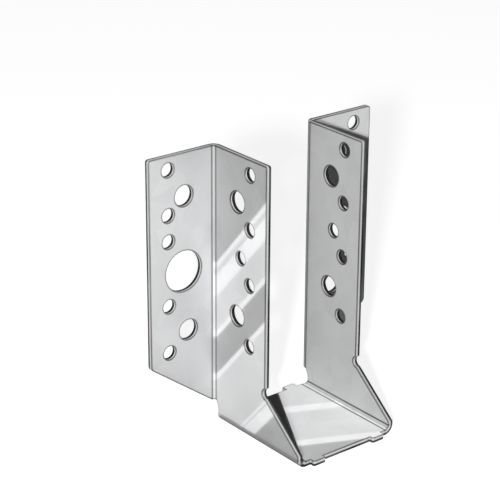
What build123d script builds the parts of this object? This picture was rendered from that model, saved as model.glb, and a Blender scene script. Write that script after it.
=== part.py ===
from build123d import *
import os

# A face-fixed joist hanger, punched and folded from one galvanised steel sheet. Two side plates stand on a
# seat that carries the joist, and each plate turns outwards into a flange that is nailed to the header beam.
# +X runs across the joist and +Z is up. The joist leaves towards -Y and the header beam is on the +Y side.
# The origin is on the underside of the seat, midway along the depth of the sheet. Sizes are in millimetres.

# Sheet
sheet = 2.0                 # thickness
fold_radius = 1.0           # inside radius between a side plate and its flange
seat_radius = 1.5           # inside radius between a side plate and the seat

# Main sizes
pocket_width = 40.0         # clear width for the joist
height = 105.0              # seat underside to the top edges
plate_depth = 30.5          # header face to the free edge of a side plate
flange_reach = 29.5         # pocket side of a side plate to the outer edge of its flange
flange_foot = 27.8          # height of the lowest point of a flange's outer edge
fold_foot = 8.2             # height at which the fold and the slanted flange edge end

# Seat
seat_front = 49.3           # header face to the front edge of the seat
seat_back = 2.6             # header face to the rear edge of the seat
bend_front = 49.0           # header face to the front end of the seat bends
bend_back = 4.2             # header face to the rear end of the seat bends
tab_width = 5.4             # each of the four small tabs on the seat edges
tab_inset = 3.7             # pocket side of a side plate to the near side of a tab
front_tab = 1.5             # reach of the front tabs past the seat
rear_tab = 2.4              # reach of the rear tabs past the seat

# Gusset, the part of a side plate that widens forwards down to the seat
gusset_top = 19.8           # height where its slanted edge meets the free edge of the plate
gusset_lip = 4.7            # height of its short upright edge at the front of the seat
notch_radius = 2.0          # punched relief between the free edge and the slanted edge
notch_depth = 1.4           # how far the relief bites into the plate
notch_rise = 1.6            # centre of the relief above the top of the slanted edge

# Rounded corners of the blank
corner_radius = 1.0         # top corners of the flanges
foot_radius = 1.6           # lower outer corners of the flanges
plate_corner = 0.8          # top front corners of the side plates
tab_corner = 0.7            # tips of the tabs
relief_radius = 1.4         # rear relief at the foot of a side plate

# Hole diameters
nail_hole = 5.0
screw_hole = 7.5
anchor_hole = 15.0

# Holes in a flange: distance from its outer edge, and heights
flange_nail_inset = 8.0
upper_screw_inset = 14.6
lower_screw_inset = 16.1
anchor_inset = 14.3
flange_nail_drop = 5.0      # highest nail hole below the top edge
flange_nail_foot = 32.3     # height of the lowest nail hole
flange_nail_steps = (0.0, 0.242, 0.384, 0.739, 1.0)
upper_screw_step = 0.157
anchor_step = 0.566
lower_screw_step = 0.901

# Holes in a side plate: distance from its free edge, and heights
plate_nail_inset = 8.9
inner_nail_inset = 13.8
plate_screw_inset = 15.6
plate_nail_drop = 5.5       # highest nail hole below the top edge
plate_nail_foot = 36.3      # height of the lowest nail hole
plate_nail_steps = (0.0, 0.313, 0.636, 1.0)
inner_nail_step = 0.5
plate_screw_steps = (0.182, 0.85)

# Where the folded sheet lies
inner = pocket_width / 2
outer = inner + sheet
flange_edge = inner + flange_reach
flange_start = outer + fold_radius
plate_start = sheet + fold_radius
seat_bend_top = sheet + seat_radius
seat_half = inner - seat_radius
header_face = (seat_front + front_tab) / 2


def back_to(distance):
    """Y of a line that lies this far in front of the header face."""
    return header_face - distance


def step_height(drop, foot, step):
    """Height of a hole that lies this share of the way from the highest one to the lowest one."""
    highest = height - drop
    return highest - step * (highest - foot)


def bend(radius, sector_start):
    """Quarter ring of the sheet's thickness about the origin, from one angle over the next 90 degrees."""
    ring = Circle(radius + sheet) - Circle(radius)
    quarter = Rectangle(radius + sheet, radius + sheet, align=(Align.MIN, Align.MIN))
    return ring & (Rot(0, 0, sector_start) * quarter)


def corner_near(sketch, x, y):
    """The sketch's corner that lies nearest to a point."""
    return sketch.vertices().sort_by_distance((x, y, 0))[0]


def rounded(sketch, corners):
    """The sketch with each listed corner (x, y, radius) rounded."""
    for x, y, radius in corners:
        sketch = fillet(corner_near(sketch, x, y), radius)
    return sketch


def flange_outline():
    """Flat part of the right flange, drawn in X and Z."""
    points = [
        (flange_start, height),
        (flange_edge, height),
        (flange_edge, flange_foot),
        (flange_start, fold_foot),
    ]
    sheet_face = make_face(Polyline(*points, close=True))
    corners = [
        (flange_edge, height, corner_radius),
        (flange_edge, flange_foot, foot_radius),
    ]
    return rounded(sheet_face, corners)


def flange_holes():
    """Nail, screw and anchor holes of the right flange, drawn in X and Z."""
    holes = []
    for step in flange_nail_steps:
        z = step_height(flange_nail_drop, flange_nail_foot, step)
        holes.append(Pos(flange_edge - flange_nail_inset, z) * Circle(nail_hole / 2))
    for inset, step, diameter in [
        (upper_screw_inset, upper_screw_step, screw_hole),
        (anchor_inset, anchor_step, anchor_hole),
        (lower_screw_inset, lower_screw_step, screw_hole),
    ]:
        z = step_height(flange_nail_drop, flange_nail_foot, step)
        holes.append(Pos(flange_edge - inset, z) * Circle(diameter / 2))
    return Sketch() + holes


def flange():
    """Flat part of the right flange with its holes, its rear face against the header beam."""
    face = flange_outline() - flange_holes()
    return extrude(Plane.XZ.offset(-header_face) * face, amount=sheet)


def fold():
    """Bend between the right side plate and its flange."""
    section = Pos(flange_start, back_to(plate_start)) * bend(fold_radius, 90)
    return extrude(Pos(0, 0, fold_foot) * section, amount=height - fold_foot)


def plate_outline():
    """Flat part of a side plate with its gusset, drawn in Y and Z."""
    points = [
        (back_to(plate_start), height),
        (back_to(plate_depth), height),
        (back_to(plate_depth), gusset_top),
        (back_to(bend_front), gusset_lip),
        (back_to(bend_front), seat_bend_top),
        (back_to(bend_back), seat_bend_top),
        (back_to(bend_back), (fold_foot + seat_bend_top) / 2),
        (back_to(plate_start), fold_foot),
    ]
    face = make_face(Polyline(*points, close=True))
    corners = [
        (back_to(plate_depth), height, plate_corner),
        (back_to(bend_back), (fold_foot + seat_bend_top) / 2, relief_radius),
    ]
    face = rounded(face, corners)
    notch_centre = back_to(plate_depth) + notch_depth - notch_radius
    face -= Pos(notch_centre, gusset_top + notch_rise) * Circle(notch_radius)
    return face


def plate_holes():
    """Nail and screw holes of a side plate, drawn in Y and Z."""
    holes = []
    for step in plate_nail_steps:
        z = step_height(plate_nail_drop, plate_nail_foot, step)
        holes.append(Pos(back_to(plate_depth - plate_nail_inset), z) * Circle(nail_hole / 2))
    z = step_height(plate_nail_drop, plate_nail_foot, inner_nail_step)
    holes.append(Pos(back_to(plate_depth - inner_nail_inset), z) * Circle(nail_hole / 2))
    for step in plate_screw_steps:
        z = step_height(plate_nail_drop, plate_nail_foot, step)
        holes.append(Pos(back_to(plate_depth - plate_screw_inset), z) * Circle(screw_hole / 2))
    return Sketch() + holes


def side_plate():
    """Flat part of the right side plate with its holes."""
    face = plate_outline() - plate_holes()
    return extrude(Plane.YZ.offset(inner) * face, amount=sheet)


def seat_bend():
    """Bend between the seat and the right side plate, its rear end slanted back from the plate to the seat."""
    section = Pos(seat_half, seat_bend_top) * bend(seat_radius, 270)
    strip = extrude(Plane.XZ.offset(-back_to(seat_back)) * section, amount=bend_front - seat_back)
    slant = [
        (back_to(seat_back), 0),
        (back_to(bend_back), seat_bend_top),
        (back_to(seat_back), seat_bend_top),
    ]
    waste = make_face(Polyline(*slant, close=True))
    return strip - extrude(Plane.YZ.offset(seat_half) * waste, amount=outer - seat_half)


def seat_half_outline():
    """Right half of the flat seat with a tab at its front and rear edges, drawn in X and Y."""
    tab_outside = inner - tab_inset
    tab_inside = tab_outside - tab_width
    points = [
        (0, back_to(seat_back)),
        (tab_inside, back_to(seat_back)),
        (tab_inside, back_to(seat_back - rear_tab)),
        (tab_outside, back_to(seat_back - rear_tab)),
        (tab_outside, back_to(seat_back)),
        (seat_half, back_to(seat_back)),
        (seat_half, back_to(bend_front)),
        (tab_outside, back_to(bend_front)),
        (tab_outside, back_to(seat_front + front_tab)),
        (tab_inside, back_to(seat_front + front_tab)),
        (tab_inside, back_to(seat_front)),
        (0, back_to(seat_front)),
    ]
    face = make_face(Polyline(*points, close=True))
    corners = [
        (tab_inside, back_to(seat_back - rear_tab), tab_corner),
        (tab_outside, back_to(seat_back - rear_tab), tab_corner),
        (tab_outside, back_to(seat_front + front_tab), tab_corner),
        (tab_inside, back_to(seat_front + front_tab), tab_corner),
    ]
    return rounded(face, corners)


def seat():
    """Flat seat that the joist stands on."""
    half = extrude(seat_half_outline(), amount=sheet)
    return half + mirror(half, about=Plane.YZ)


def hanger():
    """The whole folded sheet."""
    right = flange() + fold() + side_plate() + seat_bend()
    left = mirror(right, about=Plane.YZ)
    return right + left + seat()


os.makedirs("parts", exist_ok=True)
body = hanger()
solid = body.solids()[0]
solid.label = "hanger"
export_step(solid, "parts/hanger.step")
print("solids", len(body.solids()), "volume", round(solid.volume, 1), "valid", solid.is_valid)
print("box", solid.bounding_box())
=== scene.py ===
"""Looks of a galvanised joist hanger, one punched and folded steel sheet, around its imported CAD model."""

import logging
import math
from collections.abc import Iterable, Mapping
from dataclasses import dataclass
from enum import Enum
from typing import Any

import bmesh
import bpy
from mathutils import Matrix, Vector


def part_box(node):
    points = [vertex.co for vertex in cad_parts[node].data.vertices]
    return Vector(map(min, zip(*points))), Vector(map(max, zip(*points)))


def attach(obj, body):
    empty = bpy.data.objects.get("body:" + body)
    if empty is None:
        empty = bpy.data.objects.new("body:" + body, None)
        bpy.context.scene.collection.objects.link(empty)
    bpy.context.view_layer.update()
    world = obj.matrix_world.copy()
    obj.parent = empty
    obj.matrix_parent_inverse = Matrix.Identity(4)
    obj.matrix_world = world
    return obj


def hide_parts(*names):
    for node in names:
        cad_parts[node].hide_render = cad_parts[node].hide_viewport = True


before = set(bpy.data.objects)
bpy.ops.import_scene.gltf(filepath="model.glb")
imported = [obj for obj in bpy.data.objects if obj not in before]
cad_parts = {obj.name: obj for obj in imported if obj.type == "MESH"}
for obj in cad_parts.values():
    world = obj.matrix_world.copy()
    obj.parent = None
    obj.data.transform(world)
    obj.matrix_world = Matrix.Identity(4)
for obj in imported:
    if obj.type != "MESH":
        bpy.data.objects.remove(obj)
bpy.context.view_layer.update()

# A millimetre in metres, a quarter turn, the distance in millimetres within which points merge, how far
# upright a wall's normal may point, and the angles in radians past which edges are rounded and shaded sharp.
MM = 0.001
QUARTER = math.pi / 2
WELD = 1e-4
UPRIGHT = 0.1
ROUNDED_FROM = 1.0
SHARP_FROM = math.radians(50)
WHITE = (1, 1, 1, 1)
Colour = tuple[float, float, float, float]
log = logging.getLogger("joist_hanger")


class Socket:
    """A shader value. Python's operators on it add Math nodes."""

    def __init__(self, graph: "Graph", output: bpy.types.NodeSocket) -> None:
        """Wrap a node's output.

        Args:
            graph: The node tree that the value belongs to.
            output: The node's output socket.
        """
        self.graph = graph
        self.output = output

    def __add__(self, other: Any) -> "Socket":
        """self + other."""
        return self.graph.math("ADD", self, other)

    def __radd__(self, other: Any) -> "Socket":
        """other + self."""
        return self.graph.math("ADD", other, self)

    def __sub__(self, other: Any) -> "Socket":
        """self - other."""
        return self.graph.math("SUBTRACT", self, other)

    def __rsub__(self, other: Any) -> "Socket":
        """other - self."""
        return self.graph.math("SUBTRACT", other, self)

    def __mul__(self, other: Any) -> "Socket":
        """self * other."""
        return self.graph.math("MULTIPLY", self, other)

    def __rmul__(self, other: Any) -> "Socket":
        """other * self."""
        return self.graph.math("MULTIPLY", other, self)

    def __truediv__(self, other: Any) -> "Socket":
        """self / other."""
        return self.graph.math("DIVIDE", self, other)

    def __abs__(self) -> "Socket":
        """self without its sign."""
        return self.graph.math("ABSOLUTE", self)

    def limit(self) -> "Socket":
        """The value kept between 0 and 1."""
        return self.graph.math("MINIMUM", self.graph.math("MAXIMUM", self, 0.0), 1.0)

    def step_up(self, low: float, high: float) -> "Socket":
        """Rise smoothly from 0 to 1.

        Args:
            low: The value up to which the result is 0.
            high: The value from which it is 1.

        Returns:
            The result.
        """
        settings = {"interpolation_type": "SMOOTHSTEP"}
        node = self.graph.node("MapRange", settings, {"Value": self, "From Min": low, "From Max": high})
        return Socket(self.graph, node.outputs["Result"])


class Graph:
    """A material's or world's node tree, emptied and built up through one method."""

    def __init__(self, owner: bpy.types.Material | bpy.types.World) -> None:
        """Empty the owner's node tree.

        Args:
            owner: The material or world to dress.
        """
        owner.use_nodes = True
        self.tree = owner.node_tree
        self.tree.nodes.clear()

    def node(self, kind: str, settings: Mapping[str, Any] | None = None,
             inputs: Mapping[str | int, Any] | None = None) -> bpy.types.Node:
        """Add a node, give it its settings and then its sockets' values or links.

        Args:
            kind: The node's type without the ShaderNode prefix.
            settings: Its own settings.
            inputs: Values, sockets or node outputs, by input name or number.

        Returns:
            The new node.
        """
        node = self.tree.nodes.new("ShaderNode" + kind)
        for name, value in (settings or {}).items():
            setattr(node, name, value)
        for name, value in (inputs or {}).items():
            if isinstance(value, Socket):
                self.tree.links.new(value.output, node.inputs[name])
            elif isinstance(value, bpy.types.NodeSocket):
                self.tree.links.new(value, node.inputs[name])
            else:
                node.inputs[name].default_value = value
        return node

    def value(self, kind: str, output: str | int, settings: Mapping[str, Any] | None = None,
              inputs: Mapping[str | int, Any] | None = None) -> Socket:
        """Add a node and give one of its outputs as a value to reckon with.

        Args:
            kind: The node's type without the ShaderNode prefix.
            output: The output's name or number.
            settings: Its own settings.
            inputs: Values or links by input name or number.

        Returns:
            The wrapped output.
        """
        return Socket(self, self.node(kind, settings, inputs).outputs[output])

    def math(self, operation: str, *values: Any) -> Socket:
        """Feed numbers or values to one Math node and give the result."""
        return self.value("Math", 0, {"operation": operation}, dict(enumerate(values)))

    def blend(self, share: Any, first: Any, second: Any) -> bpy.types.NodeSocket:
        """Mix two colours.

        Args:
            share: How much of the second colour, from 0 to 1.
            first: The first colour.
            second: The second colour.

        Returns:
            The mixed colour's socket.
        """
        # A Mix node's colours are its inputs 6 and 7, and the mixed colour is its output 2.
        node = self.node("Mix", {"data_type": "RGBA"}, {0: share, 6: first, 7: second})
        return node.outputs[2]

    def vector(self, operation: str, inputs: Mapping[str | int, Any]) -> bpy.types.NodeSocket:
        """The vector result of one Vector Math node."""
        return self.node("VectorMath", {"operation": operation}, inputs).outputs[0]

    def surface(self, shader: bpy.types.Node, kind: str = "OutputMaterial") -> None:
        """Connect the finished shader to the tree's output."""
        self.node(kind, None, {"Surface": shader.outputs[0]})


@dataclass(frozen=True)
class Galvanised:
    """Hot-dip zinc on steel: satin grey with a faint spangle, and cut walls with a clean and a dark part.

    Lengths are in millimetres. A pair of numbers gives where something begins and where it is complete.

    Attributes:
        light: The palest zinc.
        dark: The darkest zinc.
        cut: The clean part of a cut wall along the outline.
        punched: The clean part of a hole's wall.
        burr: The burr along an edge, and the lines that the press brake leaves.
        torn_and_shade: The fractured part of a hole's wall, near black as painted shade on the side of the
            hole away from the front-left view.
        metal: How metallic the zinc is. Burrs and the fractured, painted-shade part of hole walls are wholly
            metallic.
        roughness: The zinc's mean roughness.
        tone_parts: How much the crystals, the patches and the grain change the zinc's tone.
        rough_parts: How much the crystals, the patches, the fractured and painted-shade part of hole walls,
            and burrs change the roughness.
        spangle_size: Size of the zinc's crystals.
        spangle_height: How far the crystals stand above one another.
        drift_size: Size of the waves in the crystals' outlines.
        drift_reach: How far those waves go.
        cloud_size: Size of the lighter and darker patches.
        grain_size: Size of the finest grain.
        grain_height: Its height.
        clean_from: Depth in the sheet, as a share of its thickness, where the clean part of a cut begins.
        clean_to: Depth where the clean part of the outline's cut gives way to the burr.
        hole_from: Value of the bore attribute from which a wall is a hole's.
        torn_and_shade_from: Value of the bore attribute from which a hole's wall is fractured and near
            black, partly as painted shade.
        burr_reach: Nearness to an edge, from 0 to 1, over which the burr shows.
        near_burr: Strength of the burr at the face that the sheet was cut from. It is 1 at the other.
        far_side: Depth over which that strength changes.
        line_half: Half the width of a press line.
        fold_line: Strength of the lines at the fold beside those at the seat bend.
        outer_line: Strength of the line around the outside of the seat bend.
    """

    light: Colour = (0.768, 0.772, 0.776, 1.0)
    dark: Colour = (0.628, 0.632, 0.638, 1.0)
    cut: Colour = (0.60, 0.605, 0.61, 1.0)
    punched: Colour = (0.92, 0.925, 0.93, 1.0)
    burr: Colour = (0.018, 0.0185, 0.019, 1.0)
    # Fractured part of a hole's wall: real rough steel, made near black as painted shade inside the hole.
    torn_and_shade: Colour = (0.018, 0.018, 0.019, 1.0)
    metal: float = 0.5
    roughness: float = 0.42
    tone_parts: tuple[float, float, float] = (0.30, 1.1, 0.25)
    rough_parts: tuple[float, float, float, float] = (0.07, 0.12, 0.2, 0.1)
    spangle_size: float = 7.0
    spangle_height: float = 0.004
    drift_size: float = 9.0
    drift_reach: float = 5.0
    cloud_size: float = 26.0
    grain_size: float = 0.4
    grain_height: float = 0.0025
    clean_from: tuple[float, float] = (0.10, 0.20)
    clean_to: tuple[float, float] = (0.42, 0.54)
    hole_from: tuple[float, float] = (0.05, 0.15)
    torn_and_shade_from: tuple[float, float] = (0.40, 0.50)
    burr_reach: tuple[float, float] = (0.12, 0.72)
    near_burr: float = 0.78
    far_side: tuple[float, float] = (0.3, 0.7)
    line_half: tuple[float, float] = (0.18, 0.46)
    fold_line: float = 0.8
    outer_line: float = 0.2

    def press_marks(self, graph: Graph, place: bpy.types.NodeSocket, sheet: "Sheet") -> Socket:
        """Fine lines that the press brake leaves where each bend begins and ends.

        Args:
            graph: The material's node tree.
            place: The point on the object.
            sheet: The folded sheet, which knows where its bends are.

        Returns:
            1 on a line and 0 off it.
        """
        split = graph.node("SeparateXYZ", None, {0: place}).outputs
        x = abs(Socket(graph, split[0])) / MM
        y = Socket(graph, split[1]) / MM
        z = Socket(graph, split[2]) / MM
        half = sheet.pocket_width / 2
        outer = half + sheet.thickness
        above_seat = z.step_up(sheet.thickness + 0.2, sheet.thickness + 0.6)
        at_plate = x.step_up(half - 0.8, half - 0.4)
        outside_plate = x.step_up(half + 0.8, half + 1.2)
        past_plate = x.step_up(outer + 0.2, outer + 0.4)
        above_foot = z.step_up(sheet.fold_foot - 1.0, sheet.fold_foot - 0.5)
        behind_fold = y.step_up(sheet.fold_start + 0.6, sheet.fold_start + 0.8)
        lines = [(x, sheet.seat_half, 1.0 - above_seat),
                 (z, sheet.bend_top, at_plate - (1.0 - self.outer_line) * outside_plate),
                 (y, sheet.fold_start, self.fold_line * above_foot * (1.0 - past_plate)),
                 (x, outer + sheet.fold_radius, self.fold_line * behind_fold)]
        total = 0.0
        for count, start, where in lines:
            line = (1.0 - abs(count - start).step_up(*self.line_half)) * where
            total = graph.math("MAXIMUM", total, line)
        return total

    def material(self, sheet: "Sheet") -> bpy.types.Material:
        """Build the finish.

        Args:
            sheet: The folded sheet that it goes on.

        Returns:
            The material.
        """
        made = bpy.data.materials.new("galvanised_zinc")
        graph = Graph(made)
        place = graph.node("TexCoord").outputs["Object"]
        marks = self.press_marks(graph, place, sheet)
        drift = graph.node("TexNoise", None, {"Vector": place, "Scale": 1 / (self.drift_size * MM),
                                              "Detail": 2.0})
        shift = graph.vector("SUBTRACT", {0: drift.outputs["Color"], 1: (0.5, 0.5, 0.5)})
        warped = graph.vector("MULTIPLY_ADD", {0: shift, 1: (self.drift_reach * MM,) * 3, 2: place})
        cells = graph.node("TexVoronoi", None, {"Vector": warped, "Scale": 1 / (self.spangle_size * MM)})
        parts = graph.node("SeparateColor", None, {0: cells.outputs["Color"]})
        tone = Socket(graph, parts.outputs[0])
        sheen = Socket(graph, parts.outputs[1])
        clouds = graph.value("TexNoise", "Fac", None, {"Vector": place, "Scale": 1 / (self.cloud_size * MM),
                                                      "Detail": 4.0, "Roughness": 0.55})
        grain = graph.value("TexNoise", "Fac", None, {"Vector": place, "Scale": 1 / (self.grain_size * MM),
                                                     "Detail": 3.0, "Roughness": 0.6})
        edge = graph.value("Attribute", "Fac", {"attribute_name": "edge"})
        bore = graph.value("Attribute", "Fac", {"attribute_name": "bore"})
        through = graph.value("Attribute", "Fac", {"attribute_name": "through"})
        shear = graph.value("Attribute", "Fac", {"attribute_name": "shear"})
        outline = shear.step_up(*self.clean_from) * (1.0 - shear.step_up(*self.clean_to))
        bored = through.step_up(*self.clean_from) * (1.0 - through).step_up(*self.clean_from)
        hole = bore.step_up(*self.hole_from)
        clean = outline + (bored - outline) * hole
        # Mask of the fractured far part of each hole's wall: real tearing, darkened as painted shade inside
        # the hole.
        torn_and_shade_mask = (bore.step_up(*self.torn_and_shade_from) * (0.8 + grain * 0.4)).limit()
        by_tone, by_cloud, by_grain = self.tone_parts
        shade = (0.5 + (tone - 0.5) * by_tone + (clouds - 0.5) * by_cloud + (grain - 0.5) * by_grain).limit()
        skin = graph.blend(shade, self.dark, self.light)
        pressed = graph.blend((marks * (0.55 + clouds * 0.5)).limit(), skin, self.burr)
        fresh = graph.blend(hole, self.cut, self.punched)
        bared = (edge * clean * (0.45 + clouds * 0.7)).limit()
        heavy = self.near_burr + (1.0 - self.near_burr) * shear.step_up(*self.far_side)
        arris = (edge.step_up(*self.burr_reach) * (1.0 - clean) * (0.55 + clouds * 0.8)).limit() * heavy
        edged = graph.blend(arris, graph.blend(bared, pressed, fresh), self.burr)
        # Paint the fractured far part of the hole walls near black: painted shade.
        colour = graph.blend(torn_and_shade_mask, edged, self.torn_and_shade)
        by_sheen, by_cloud, by_torn_and_shade, by_burr = self.rough_parts
        rough = self.roughness + (sheen - 0.5) * by_sheen + (clouds - 0.5) * by_cloud
        rough = rough + torn_and_shade_mask * by_torn_and_shade + arris * by_burr
        metallic = self.metal + (1.0 - self.metal) * graph.math("MAXIMUM", arris, torn_and_shade_mask)
        height = (grain - 0.5) * self.grain_height * MM + (tone - 0.5) * self.spangle_height * MM
        bump = graph.node("Bump", None, {"Strength": 1.0, "Distance": 1.0, "Height": height})
        shader = graph.node("BsdfPrincipled", None, {
            "Base Color": colour, "Metallic": metallic, "Roughness": rough, "Normal": bump.outputs[0]})
        graph.surface(shader)
        return made


@dataclass
class Sheet:
    """The hanger's blank in millimetres: laid flat, punched, given its thickness, eased and folded.

    Flat, it lies in X and Y with its pocket side up. Across is the run from the middle of the seat, over the
    seat bend and up a side plate. Along is the depth, and beyond the fold it is the run out over a flange.
    Depths are counted from the header face and heights from the seat's underside. The inset of a hole is
    counted from the free edge of its flange or plate, and a corner's cut is how far it is cut back.

    Attributes:
        thickness: Thickness of the sheet.
        fold_radius: Inside radius between a side plate and its flange.
        seat_radius: Inside radius between a side plate and the seat.
        pocket_width: Clear width for the joist.
        plate_depth: Depth of the free edge of a side plate.
        flange_foot: Height of the lowest point of a flange's outer edge.
        fold_foot: Height at which the fold and the flange's slanted edge end.
        seat_front: Depth of the seat's front edge.
        seat_back: Depth of the seat's rear edge.
        bend_front: Depth of the front end of the seat bends.
        bend_back: Depth of the rear end of the seat bends, where they meet the plates.
        tab_width: Width of the four small tabs on the seat's edges.
        tab_inset: Distance from the pocket side of a plate to the near side of a tab.
        rear_tab: Reach of the rear tabs past the seat.
        gusset_top: Height where a gusset's slanted edge meets the free edge of its plate.
        gusset_lip: Height of a gusset's short upright edge at the front of the seat.
        notch_radius: Radius of the punched relief between the free edge and the slanted edge.
        notch_depth: How far the relief bites into the plate.
        notch_rise: Height of the relief's centre above the top of the slanted edge.
        corner_cut: Cut of a flange's top corner.
        foot_cut: Cut of a flange's lower outer corner.
        plate_cut: Cut of a plate's top front corner.
        tab_cut: Cut of a tab's corners.
        relief_cut: Cut of the corner at the foot of a plate's rear edge.
        nail_hole: Diameter of the nail holes.
        screw_hole: Diameter of the screw holes.
        anchor_hole: Diameter of the large hole.
        flange_nail_inset: Inset of a flange's nail holes.
        upper_screw_inset: Inset of its upper screw hole.
        lower_screw_inset: Inset of its lower screw hole.
        anchor_inset: Inset of its large hole.
        flange_nail_heights: Heights of its nail holes.
        upper_screw_height: Height of its upper screw hole.
        anchor_height: Height of its large hole.
        lower_screw_height: Height of its lower screw hole.
        plate_nail_inset: Inset of the row of nail holes in a plate.
        inner_nail_inset: Inset of the single nail hole behind that row.
        plate_screw_inset: Inset of a plate's screw holes.
        plate_nail_heights: Heights of the row's nail holes.
        inner_nail_height: Height of the single nail hole.
        plate_screw_heights: Heights of a plate's screw holes.
        rim_ease: Radius to which rims and edges are rounded.
        rim_band: Width of the band along the rims in which the burr is strong.
        fade_band: Width of the next band, in which the burr fades.
        band_burr: Strength of the burr between the two bands, where it is 1 at the rim.
        bore_start: Value of the bore attribute at the clean side of a hole's wall. It is 1 at the fractured
            side, which is near black as painted shade.
        bend_steps: Number of strips in a bend.
    """

    thickness: float = 2.0
    fold_radius: float = 1.0
    seat_radius: float = 1.5
    pocket_width: float = 40.0
    plate_depth: float = 30.5
    flange_foot: float = 27.8
    fold_foot: float = 8.2
    seat_front: float = 49.3
    seat_back: float = 2.6
    bend_front: float = 49.0
    bend_back: float = 4.2
    tab_width: float = 5.4
    tab_inset: float = 3.7
    rear_tab: float = 2.4
    gusset_top: float = 19.8
    gusset_lip: float = 4.7
    notch_radius: float = 2.0
    notch_depth: float = 1.4
    notch_rise: float = 1.6
    corner_cut: float = 1.0
    foot_cut: float = 0.96
    plate_cut: float = 0.8
    tab_cut: float = 0.7
    relief_cut: float = 0.34
    nail_hole: float = 5.0
    screw_hole: float = 7.5
    anchor_hole: float = 15.0
    flange_nail_inset: float = 8.0
    upper_screw_inset: float = 14.6
    lower_screw_inset: float = 16.1
    anchor_inset: float = 14.3
    flange_nail_heights: tuple[float, ...] = (100.0, 83.62, 74.04, 49.97, 32.3)
    upper_screw_height: float = 89.37
    anchor_height: float = 61.68
    lower_screw_height: float = 39.04
    plate_nail_inset: float = 8.9
    inner_nail_inset: float = 13.8
    plate_screw_inset: float = 15.6
    plate_nail_heights: tuple[float, ...] = (99.5, 79.72, 59.30, 36.3)
    inner_nail_height: float = 67.9
    plate_screw_heights: tuple[float, ...] = (88.0, 45.78)
    rim_ease: float = 0.24
    rim_band: float = 0.34
    fade_band: float = 0.34
    band_burr: float = 0.6
    bore_start: float = 0.2
    bend_steps: int = 14

    def __post_init__(self) -> None:
        """Take the overall sizes from the frame and work out where the bends lie on the blank."""
        low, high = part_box("hanger")
        self.header_face = high.y / MM
        self.front = low.y / MM
        self.height = high.z / MM
        self.flange_edge = high.x / MM
        self.seat_half = self.pocket_width / 2 - self.seat_radius
        self.bend_top = self.thickness + self.seat_radius
        self.seat_neutral = self.seat_radius + self.thickness / 2
        self.fold_neutral = self.fold_radius + self.thickness / 2
        self.bend_end = self.seat_half + QUARTER * self.seat_neutral
        self.fold_start = self.header_face - self.thickness - self.fold_radius
        self.fold_end = self.fold_start + QUARTER * self.fold_neutral
        self.mesh = bmesh.new()
        self.bore = self.mesh.verts.layers.float.new("bore")

    def back_to(self, distance: float) -> float:
        """Depth of a line this far in front of the header face."""
        return self.header_face - distance

    def up(self, height: float) -> float:
        """Blank coordinate across of a height on a side plate."""
        return self.bend_end + height - self.bend_top

    def out(self, across: float) -> float:
        """Blank coordinate along of a point this far from the middle of the hanger on a flange."""
        return self.fold_end + across - self.pocket_width / 2 - self.thickness - self.fold_radius

    def notch(self, steps: int = 10) -> list[tuple[float, float]]:
        """Arc of the punched relief where a plate's free edge meets its gusset.

        Args:
            steps: How many straight pieces the arc has.

        Returns:
            Its blank points from the gusset's slanted edge up to the free edge.
        """
        edge = self.back_to(self.plate_depth)
        centre = Vector((edge + self.notch_depth - self.notch_radius, self.gusset_top + self.notch_rise))
        top = Vector((edge, self.gusset_top))
        slope = (Vector((self.back_to(self.bend_front), self.gusset_lip)) - top).normalized()
        # The foot of the arc is where the line of the slanted edge leaves the relief's circle.
        to_top = top - centre
        along = to_top.dot(slope)
        reach = -along + math.sqrt(along * along - to_top.length_squared + self.notch_radius ** 2)
        foot = to_top + slope * reach
        start = math.atan2(foot.y, foot.x)
        end = math.acos((edge - centre.x) / self.notch_radius)
        arc = [start + (end - start) * i / steps for i in range(steps + 1)]
        points = [centre + self.notch_radius * Vector((math.cos(a), math.sin(a))) for a in arc]
        return [(self.up(p.y), p.x) for p in points]

    def face(self, points: Iterable[tuple[float, float]],
             rounds: Mapping[int, float] | None = None) -> bmesh.types.BMFace:
        """Lay one flat region of the blank.

        Args:
            points: Its corners, across and along. The first one stays sharp.
            rounds: How far each rounded corner is cut back, by the corner's place in points.

        Returns:
            The region's face.
        """
        corners = [self.mesh.verts.new((across, along, self.thickness)) for across, along in points]
        self.mesh.faces.new(corners)
        for index, offset in (rounds or {}).items():
            bmesh.ops.bevel(self.mesh, geom=[corners[index]], offset=offset, offset_type="OFFSET",
                            segments=6, profile=0.5, affect="VERTICES", clamp_overlap=True, material=-1)
        return corners[0].link_faces[0]

    def punch(self, region: bmesh.types.BMFace, holes: Iterable[tuple[float, float, float]]) -> None:
        """Fill a region again around its holes.

        Args:
            region: The region's face.
            holes: Each hole's centre, across and along, and its diameter.
        """
        rims = list(region.edges)
        self.mesh.faces.remove(region)
        for across, along, diameter in holes:
            place = Matrix.Translation((across, along, self.thickness))
            segments = 8 * round(2 + diameter / 2.5)
            circle = bmesh.ops.create_circle(self.mesh, radius=diameter / 2, segments=segments, matrix=place)
            for vert in circle["verts"]:
                vert[self.bore] = 1.0
            rims += {edge for vert in circle["verts"] for edge in vert.link_edges}
        bmesh.ops.triangle_fill(self.mesh, use_beauty=True, edges=rims, normal=(0, 0, 1))

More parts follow.
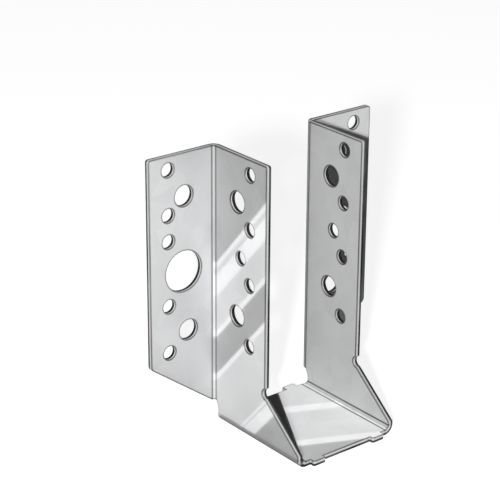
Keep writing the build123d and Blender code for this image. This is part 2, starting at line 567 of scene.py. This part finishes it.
    def plate(self) -> None:
        """Lay a side plate with its gusset, relief notch and holes."""
        rear = self.back_to(self.bend_back)
        front = self.back_to(self.bend_front)
        edge = self.back_to(self.plate_depth)
        relief = (self.fold_foot + self.bend_top) / 2
        points = [(self.up(self.bend_top), rear), (self.up(self.bend_top), front),
                  (self.up(self.gusset_lip), front), *self.notch(), (self.up(self.height), edge),
                  (self.up(self.height), self.fold_start), (self.up(self.fold_foot), self.fold_start),
                  (self.up(relief), rear)]
        top_corner, relief_corner = len(points) - 4, len(points) - 1
        region = self.face(points, {top_corner: self.plate_cut, relief_corner: self.relief_cut})
        nail = self.back_to(self.plate_depth - self.plate_nail_inset)
        holes = [(self.up(z), nail, self.nail_hole) for z in self.plate_nail_heights]
        inner = self.back_to(self.plate_depth - self.inner_nail_inset)
        holes.append((self.up(self.inner_nail_height), inner, self.nail_hole))
        screw = self.back_to(self.plate_depth - self.plate_screw_inset)
        holes += [(self.up(z), screw, self.screw_hole) for z in self.plate_screw_heights]
        self.punch(region, holes)

    def flange(self) -> None:
        """Lay a flange with its nail, screw and anchor holes."""
        edge = self.out(self.flange_edge)
        region = self.face([(self.up(self.fold_foot), self.fold_end),
                            (self.up(self.height), self.fold_end), (self.up(self.height), edge),
                            (self.up(self.flange_foot), edge)],
                           {2: self.corner_cut, 3: self.foot_cut})
        holes = [(self.up(z), edge - self.flange_nail_inset, self.nail_hole)
                 for z in self.flange_nail_heights]
        holes.append((self.up(self.upper_screw_height), edge - self.upper_screw_inset, self.screw_hole))
        holes.append((self.up(self.anchor_height), edge - self.anchor_inset, self.anchor_hole))
        holes.append((self.up(self.lower_screw_height), edge - self.lower_screw_inset, self.screw_hole))
        self.punch(region, holes)

    def seat(self) -> None:
        """Lay half of the seat with a tab at its front and rear edges."""
        outside = self.pocket_width / 2 - self.tab_inset
        inside = outside - self.tab_width
        rear = self.back_to(self.seat_back)
        bend = self.back_to(self.bend_front)
        front = self.back_to(self.seat_front)
        self.face([(0, rear), (0, front), (inside, front), (inside, self.front), (outside, self.front),
                   (outside, bend), (self.seat_half, bend), (self.seat_half, rear), (outside, rear),
                   (outside, rear + self.rear_tab), (inside, rear + self.rear_tab), (inside, rear)],
                  {corner: self.tab_cut for corner in (3, 4, 9, 10)})

    def bends(self) -> None:
        """Lay the strips that become the fold and the seat bend, and score them across their width."""
        front = self.back_to(self.bend_front)
        seat_bend = self.face([(self.seat_half, self.back_to(self.seat_back)), (self.seat_half, front),
                               (self.bend_end, front), (self.bend_end, self.back_to(self.bend_back))])
        self.score(seat_bend, Vector((self.seat_half, 0, 0)), Vector((self.bend_end, 0, 0)))
        fold = self.face([(self.up(self.fold_foot), self.fold_start),
                          (self.up(self.height), self.fold_start),
                          (self.up(self.height), self.fold_end), (self.up(self.fold_foot), self.fold_end)])
        self.score(fold, Vector((0, self.fold_start, 0)), Vector((0, self.fold_end, 0)))

    def score(self, region: bmesh.types.BMFace, start: Vector, end: Vector) -> None:
        """Divide a region into narrow strips that can follow a bend.

        Args:
            region: The region's face.
            start: A point on the line where the bend begins.
            end: The point straight across where it ends.
        """
        strip = [region]
        normal = (end - start).normalized()
        for i in range(1, self.bend_steps):
            place = start.lerp(end, i / self.bend_steps)
            geom = {*strip, *(e for f in strip for e in f.edges), *(v for f in strip for v in f.verts)}
            cut = bmesh.ops.bisect_plane(self.mesh, geom=list(geom), plane_co=place, plane_no=normal,
                                         dist=WELD)
            strip = [g for g in cut["geom"] if isinstance(g, bmesh.types.BMFace)]

    def thicken(self) -> None:
        """Mirror the half blank and give it its thickness."""
        bmesh.ops.mirror(self.mesh, geom=[*self.mesh.verts, *self.mesh.edges, *self.mesh.faces],
                         matrix=Matrix.Identity(4), merge_dist=-1, axis="X")
        bmesh.ops.remove_doubles(self.mesh, verts=self.mesh.verts, dist=WELD)
        self.mesh.normal_update()
        bmesh.ops.reverse_faces(self.mesh, faces=[f for f in self.mesh.faces if f.normal.z < 0])
        made = bmesh.ops.extrude_face_region(self.mesh, geom=list(self.mesh.faces), use_keep_orig=True)
        lower = [g for g in made["geom"] if isinstance(g, bmesh.types.BMVert)]
        bmesh.ops.translate(self.mesh, vec=(0, 0, -self.thickness), verts=lower)
        bmesh.ops.recalc_face_normals(self.mesh, faces=self.mesh.faces)

    def clean_face_up(self, place: Vector) -> float:
        """Tell which face of the blank a cut is clean at. The other face is fractured.

        Args:
            place: A point on the blank.

        Returns:
            1 where the pocket side is the clean face, 0 where the other face is, and a share in the left
            seat bend and the right fold, where one turns into the other. The clean face is the one toward
            the front-left view, so the near-black fractured part of each hole's wall is painted shade on its
            far side.
        """
        # The clean face is put toward the front-left view; the near-black fractured face of hole walls is
        # painted shade.
        if place.x < -self.bend_end:
            return 0.0
        if place.x > self.bend_end:
            return min(1.0, max(0.0, (self.fold_end - place.y) / (self.fold_end - self.fold_start)))
        return min(1.0, (place.x + self.bend_end) / (self.bend_end - self.seat_half))

    def ease(self) -> None:
        """Round the rims of the holes and the outline, and mark edges, hole walls and depth in the sheet."""
        edge = self.mesh.verts.layers.float.new("edge")
        through = self.mesh.verts.layers.float.new("through")
        shear = self.mesh.verts.layers.float.new("shear")
        for side in (1, -1):
            cap = [f for f in self.mesh.faces if f.normal.z * side > 1 - UPRIGHT]
            for width in (self.rim_band, self.fade_band):
                bmesh.ops.inset_region(self.mesh, faces=cap, thickness=width, use_boundary=True,
                                       use_even_offset=True)
        rim = {vert for vert in self.mesh.verts if any(abs(f.normal.z) < UPRIGHT for f in vert.link_faces)}
        for vert in rim:
            vert[edge] = 1.0
            for near in {link.other_vert(vert) for link in vert.link_edges} - rim:
                near[edge] = self.band_burr
        rims = [e for e in self.mesh.edges if len(e.link_faces) == 2 and e.calc_face_angle() > ROUNDED_FROM]
        bmesh.ops.bevel(self.mesh, geom=rims, offset=self.rim_ease, offset_type="OFFSET", segments=3,
                        profile=0.5, affect="EDGES", clamp_overlap=False, material=-1, loop_slide=True)
        self.mesh.normal_update()
        for vert in self.mesh.verts:
            depth = vert.co.z / self.thickness
            vert[through] = depth
            vert[shear] = depth + (1 - 2 * depth) * self.clean_face_up(vert.co)
            if any(abs(f.normal.z) < UPRIGHT for f in vert.link_faces):
                # The fractured, near-black part of a hole's wall lies at the face away from the front-left
                # view: painted shade.
                vert[self.bore] *= self.bore_start + (1 - self.bore_start) * vert[shear]
            else:
                vert[self.bore] = 0.0

    def fold(self) -> None:
        """Turn both flanges out and both sides up, each about the centre of its bend."""
        for vert in self.mesh.verts:
            if abs(vert.co.x) > self.bend_end:
                centre = Vector((vert.co.x, self.fold_start, -self.fold_radius))
                self.turn(vert, centre, Vector((0, 1, 0)), Vector((0, 0, -1)), self.fold_neutral)
        for vert in self.mesh.verts:
            side = math.copysign(1, vert.co.x)
            centre = Vector((side * self.seat_half, vert.co.y, self.bend_top))
            self.turn(vert, centre, Vector((side, 0, 0)), Vector((0, 0, 1)), self.seat_neutral)

    def turn(self, vert: bmesh.types.BMVert, centre: Vector, ahead: Vector, towards: Vector,
             neutral: float) -> None:
        """Roll one point over a bend of a quarter turn.

        Args:
            vert: The point.
            centre: The bend's centre.
            ahead: Direction of the flat sheet as it enters the bend.
            towards: Direction that the sheet takes after the bend.
            neutral: Radius at which the sheet keeps its length.
        """
        run = (vert.co - centre).dot(ahead)
        if run <= 0:
            return
        angle = min(run / neutral, QUARTER)
        arm = vert.co - centre - ahead * angle * neutral
        turned = Matrix.Rotation(angle, 3, ahead.cross(towards))
        vert.co = centre + turned @ arm

    def build(self) -> bpy.types.Object:
        """Make the folded sheet.

        Returns:
            Its object at the origin, in metres.
        """
        self.plate()
        self.flange()
        self.seat()
        self.bends()
        self.thicken()
        self.ease()
        self.fold()
        bmesh.ops.scale(self.mesh, vec=(MM, MM, MM), verts=self.mesh.verts)
        bmesh.ops.recalc_face_normals(self.mesh, faces=self.mesh.faces)
        data = bpy.data.meshes.new("folded_sheet")
        self.mesh.to_mesh(data)
        self.mesh.free()
        data.shade_smooth()
        data.set_sharp_from_angle(angle=SHARP_FROM)
        piece = bpy.data.objects.new("folded_sheet", data)
        bpy.context.scene.collection.objects.link(piece)
        weights = piece.modifiers.new("even_normals", "WEIGHTED_NORMAL")
        weights.keep_sharp = True
        return piece

    def dress(self, piece: bpy.types.Object, finish: Galvanised) -> None:
        """Give the sheet its finish and its place on the frame.

        Args:
            piece: The folded sheet.
            finish: Its surface.
        """
        piece.data.materials.append(finish.material(self))
        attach(piece, "root")
        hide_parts("hanger")


@dataclass
class Viewpoint:
    """The camera, looking down on the hanger from the front left.

    Attributes:
        place: Where it stands, in millimetres.
        yaw: Its turn about the vertical in degrees, from looking along +Y.
        pitch: How many degrees it looks down.
        roll: Its turn about its own line of sight in degrees.
        lens: Focal length in millimetres.
        sensor: Width of the sensor in millimetres.
        nearest: Distance in metres from which things show.
    """

    place: tuple[float, float, float] = (-373.96, -436.2, 305.39)
    yaw: float = -38.6775
    pitch: float = 22.4406
    roll: float = 0.3532
    lens: float = 129.55
    sensor: float = 36.0
    nearest: float = 0.01

    def build(self) -> bpy.types.Object:
        """Make the camera.

        Returns:
            The camera's object.
        """
        data = bpy.data.cameras.new("viewpoint")
        data.lens = self.lens
        data.sensor_width = self.sensor
        data.clip_start = self.nearest
        camera = bpy.data.objects.new("viewpoint", data)
        bpy.context.scene.collection.objects.link(camera)
        camera.location = Vector(self.place) * MM
        heading = Matrix.Rotation(math.radians(self.yaw), 3, "Z")
        tilt = Matrix.Rotation(QUARTER - math.radians(self.pitch), 3, "X")
        roll = Matrix.Rotation(math.radians(self.roll), 3, "Z")
        camera.rotation_euler = (heading @ tilt @ roll).to_euler()
        bpy.context.scene.camera = camera
        return camera


class Facing(Enum):
    """Direction in which a board shines."""

    RIGHT = (1, 0, 0)
    LEFT = (-1, 0, 0)
    FRONT = (0, -1, 0)
    BACK = (0, 1, 0)
    UP = (0, 0, 1)
    DOWN = (0, 0, -1)


@dataclass(frozen=True)
class Bands:
    """Levels of light across a reflector board, in parallel bands.

    Attributes:
        across: What is added up for each millimetre in X, Y and Z to count across the bands.
        levels: Each band's start, counted so, and its level of light, in rising order.
        blur: Width of the change from one band to the next.
        clear: How much of what lies behind the board still shows.
    """

    across: tuple[float, float, float]
    levels: tuple[tuple[float, float], ...]
    blur: float = 0.3
    clear: float = 0.1

    @classmethod
    def flat(cls, level: float, clear: float = 0.1) -> "Bands":
        """Light of one level all over a board, and how much still shows through it."""
        return cls((0, 0, 1), ((0, level),), clear=clear)

    def material(self, name: str) -> bpy.types.Material:
        """Build the board's light, which shines from its front side only.

        Args:
            name: The material's name.

        Returns:
            The material.
        """
        made = bpy.data.materials.new(name)
        graph = Graph(made)
        place = graph.node("TexCoord").outputs["Object"]
        slope = tuple(part / MM for part in self.across)
        count = Socket(graph, graph.node("VectorMath", {"operation": "DOT_PRODUCT"},
                                         {0: place, 1: slope}).outputs["Value"])
        light = self.levels[0][1]
        for (_, before), (start, level) in zip(self.levels, self.levels[1:]):
            light = light + (level - before) * count.step_up(start - self.blur / 2, start + self.blur / 2)
        glow = graph.node("Emission", None, {"Color": WHITE, "Strength": light})
        through = graph.node("BsdfTransparent", None, {"Color": (self.clear,) * 3 + (1,)})
        front = graph.node("AddShader", None, {0: glow.outputs[0], 1: through.outputs[0]})
        back = graph.node("BsdfTransparent", None, {"Color": WHITE})
        away = graph.node("NewGeometry").outputs["Backfacing"]
        graph.surface(graph.node("MixShader", None, {0: away, 1: front.outputs[0], 2: back.outputs[0]}))
        return made


@dataclass(frozen=True)
class Board:
    """A reflector board, flag or shade near the hanger, which the camera itself never sees.

    Attributes:
        name: The board's name.
        low: Its lowest corner in millimetres.
        high: Its highest corner. It is flat, so one of the three sizes is nothing.
        facing: The side that shines.
        bands: Its light.
        trim: Where it is cut: a point and the direction of what is cut off.
        mirrors: Whether reflections show it.
        fills: Whether it counts as light, or the lack of it, on dull surfaces.
        shades: Whether it stops the key light.
    """

    name: str
    low: tuple[float, float, float]
    high: tuple[float, float, float]
    facing: Facing
    bands: Bands
    trim: tuple[tuple[float, float, float], tuple[float, float, float]] | None = None
    mirrors: bool = True
    fills: bool = False
    shades: bool = False

    def build(self) -> None:
        """Hang the board."""
        low, high = Vector(self.low), Vector(self.high)
        turn = Vector(self.facing.value).to_track_quat("Z", "Y").to_matrix()
        size = turn.transposed() @ (high - low)
        form = bmesh.new()
        bmesh.ops.create_grid(form, x_segments=1, y_segments=1, size=0.5)
        bmesh.ops.scale(form, vec=(abs(size.x), abs(size.y), 1.0), verts=form.verts)
        place = Matrix.Translation((low + high) / 2) @ turn.to_4x4()
        bmesh.ops.transform(form, matrix=place, verts=form.verts)
        if self.trim:
            bmesh.ops.bisect_plane(form, geom=[*form.verts, *form.edges, *form.faces], dist=WELD,
                                   plane_co=self.trim[0], plane_no=self.trim[1], clear_outer=True)
        bmesh.ops.scale(form, vec=(MM, MM, MM), verts=form.verts)
        data = bpy.data.meshes.new(self.name)
        form.to_mesh(data)
        form.free()
        data.materials.append(self.bands.material(self.name))
        board = bpy.data.objects.new(self.name, data)
        board.visible_camera = board.visible_transmission = False
        board.visible_glossy = self.mirrors
        board.visible_diffuse = self.fills
        board.visible_shadow = self.shades
        bpy.context.scene.collection.objects.link(board)


@dataclass
class Studio:
    """Pale floor, a soft key light from the front left, an even sky and reflector boards.

    Attributes:
        floor_colour: How much of its light the floor scatters.
        floor_white: What the floor adds where it is looked at.
        floor_half: Half the floor's width in metres.
        floor_gap: How far the floor lies below the hanger, in millimetres.
        key_level: Brightness of a white surface that faces the key light.
        key_size: Width of the key light in metres.
        key_distance: Its distance in metres.
        key_towards: The direction in which it shines.
        key_aim: The point at which it is aimed, in millimetres.
        sky: The sky's level as light on dull surfaces. It is 1 where it is looked at.
        deep: Level of the flags and shades.
        veil: How much still shows through the veil over the right flange.
        thick_veil: How much still shows through the veil over the seat's shaded side.
        even: Level that the right plate reflects.
        lit: Level that the right flange's lit corner reflects.
        shade: Level of the left plate's dark bands.
        light: Level of its light bands.
        white: Level of its white bands.
    """

    floor_colour: Colour = (0.6, 0.6, 0.6, 1.0)
    floor_white: float = 0.82
    floor_half: float = 3.0
    floor_gap: float = 0.05
    key_level: float = 0.95
    key_size: float = 0.07
    key_distance: float = 1.4
    key_towards: tuple[float, float, float] = (1.0, 1.0, -0.5)
    key_aim: tuple[float, float, float] = (0.0, 0.0, 50.0)
    sky: float = 0.12
    deep: float = 0.02
    veil: float = 0.3
    thick_veil: float = 0.08
    even: float = 0.36
    lit: float = 0.85
    shade: float = 0.15
    light: float = 0.87
    white: float = 1.45

    def boards(self) -> list[Board]:
        """List the boards: bands for the left plate and the seat, and flags where the hanger shades itself.

        Returns:
            The boards.
        """
        shade, light, white = self.shade, self.light, self.white
        plate = Bands((0, 1.12, 1), ((-60, 0.3), (4.3, white), (11.4, 0.5), (12.0, white), (13.7, light),
                                     (41.6, white), (44.1, shade), (58.5, white), (61.1, light),
                                     (74.3, white), (82.4, light), (85.1, white), (87.4, shade)))
        seat = Bands((0.42, 0.90, 0), ((-60, 0.72), (-17.3, 1.8), (-13.3, 1.34), (7.6, 1.8), (12.2, 1.28)))
        even = Bands.flat(self.even)
        lit = Bands.flat(self.lit)
        veil = Bands.flat(self.deep, clear=self.veil)
        thick_veil = Bands.flat(self.deep, clear=self.thick_veil)
        deep = Bands.flat(self.deep, clear=0.0)
        over_seat = (-20, -26, 2.3), (20, 26, 2.3), Facing.DOWN
        over_flange = (23, 22.6, 6), (52, 22.6, 108), Facing.BACK
        seat_edge = Vector((0.868, -0.496, 0))
        seat_cut = (8.4, 24.7, 2.3)
        flange_edge = Vector((0.5, 0, 1))
        flange_cut = (45.9, 22.6, 94.3)
        return [
            Board("plate_board", (-22.8, -24, 3), (-22.8, 24, 110), Facing.RIGHT, plate),
            Board("far_plate_board", (18.5, -26, 2.4), (18.5, 24, 110), Facing.RIGHT, even),
            Board("foot_strip", (-40, -27, 0.02), (-18.5, 24, 0.02), Facing.UP, deep, fills=True),
            Board("fold_strip", (12, 26.2, 6), (23.5, 26.2, 106), Facing.FRONT, deep),
            Board("seat_board", *over_seat, seat, (seat_cut, -seat_edge)),
            Board("seat_veil", *over_seat, thick_veil, (seat_cut, seat_edge)),
            Board("seat_shade", *over_seat, deep, (seat_cut, seat_edge),
                  mirrors=False, fills=True, shades=True),
            Board("flange_board", *over_flange, lit, (flange_cut, -flange_edge)),
            Board("flange_veil", *over_flange, veil, (flange_cut, flange_edge)),
            Board("flange_shade", *over_flange, deep, (flange_cut, flange_edge),
                  mirrors=False, fills=True),
            Board("hole_shade", (22.3, -4, 30), (22.3, 21, 104), Facing.RIGHT, deep,
                  mirrors=False, fills=True, shades=True),
            Board("front_flag", (55, -30, 0), (130, -30, 110), Facing.BACK, deep),
            Board("back_flag", (62, 150, 5), (230, 150, 150), Facing.FRONT, deep),
            Board("pocket_flag", (16, -25, 4), (16, 24, 45), Facing.LEFT, deep),
        ]

    def seen(self, graph: Graph) -> Socket:
        """Tell what is looked at from what only counts as light.

        Args:
            graph: The node tree that asks.

        Returns:
            1 where the camera, a reflection or a view through glass looks, and 0 for diffuse light.
        """
        rays = graph.node("LightPath").outputs
        total = Socket(graph, rays["Is Camera Ray"]) + Socket(graph, rays["Is Glossy Ray"])
        return (total + Socket(graph, rays["Is Transmission Ray"])).limit()

    def floor(self) -> None:
        """Lay the floor, which shows itself almost white and keeps the hanger's shadow."""
        form = bmesh.new()
        bmesh.ops.create_grid(form, x_segments=1, y_segments=1, size=self.floor_half)
        data = bpy.data.meshes.new("studio_floor")
        form.to_mesh(data)
        form.free()
        floor = bpy.data.objects.new("studio_floor", data)
        floor.location.z = -self.floor_gap * MM
        bpy.context.scene.collection.objects.link(floor)
        made = bpy.data.materials.new("pale_floor")
        graph = Graph(made)
        seen = self.seen(graph)
        plain = graph.node("BsdfDiffuse", None, {"Color": self.floor_colour})
        white = graph.node("Emission", None, {"Color": WHITE, "Strength": seen * self.floor_white})
        graph.surface(graph.node("AddShader", None, {0: plain.outputs[0], 1: white.outputs[0]}))
        data.materials.append(made)

    def world(self) -> None:
        """Set the sky: white where the camera or a reflection looks at it, softer as light."""
        world = bpy.data.worlds.new("studio_sky")
        bpy.context.scene.world = world
        graph = Graph(world)
        strength = self.sky + self.seen(graph) * (1.0 - self.sky)
        sky = graph.node("Background", None, {"Color": WHITE, "Strength": strength})
        graph.surface(sky, "OutputWorld")

    def key(self) -> None:
        """Set up the key light."""
        data = bpy.data.lights.new("key_light", "AREA")
        data.shape = "DISK"
        data.size = self.key_size
        # This many watts make a white surface that faces the light as bright as key_level.
        data.energy = self.key_level * math.pi ** 2 * self.key_distance ** 2
        light = bpy.data.objects.new("key_light", data)
        bpy.context.scene.collection.objects.link(light)
        towards = Vector(self.key_towards).normalized()
        light.location = Vector(self.key_aim) * MM - towards * self.key_distance
        light.rotation_euler = towards.to_track_quat("-Z", "Y").to_euler()

    def build(self) -> None:
        """Set up the whole studio."""
        self.floor()
        self.world()
        self.key()
        for board in self.boards():
            board.build()
        bpy.context.scene.view_settings.view_transform = "Standard"


def main() -> None:
    """Build the hanger, its studio and the camera, and report each piece."""
    logging.basicConfig(level=logging.INFO)
    sheet = Sheet()
    piece = sheet.build()
    sheet.dress(piece, Galvanised())
    log.info("%s: %d faces", piece.name, len(piece.data.polygons))
    Studio().build()
    log.info("studio: floor, sky and lights")
    camera = Viewpoint().build()
    log.info("camera: %s", camera.name)


if __name__ == "__main__":
    main()
    bpy.context.view_layer.update()
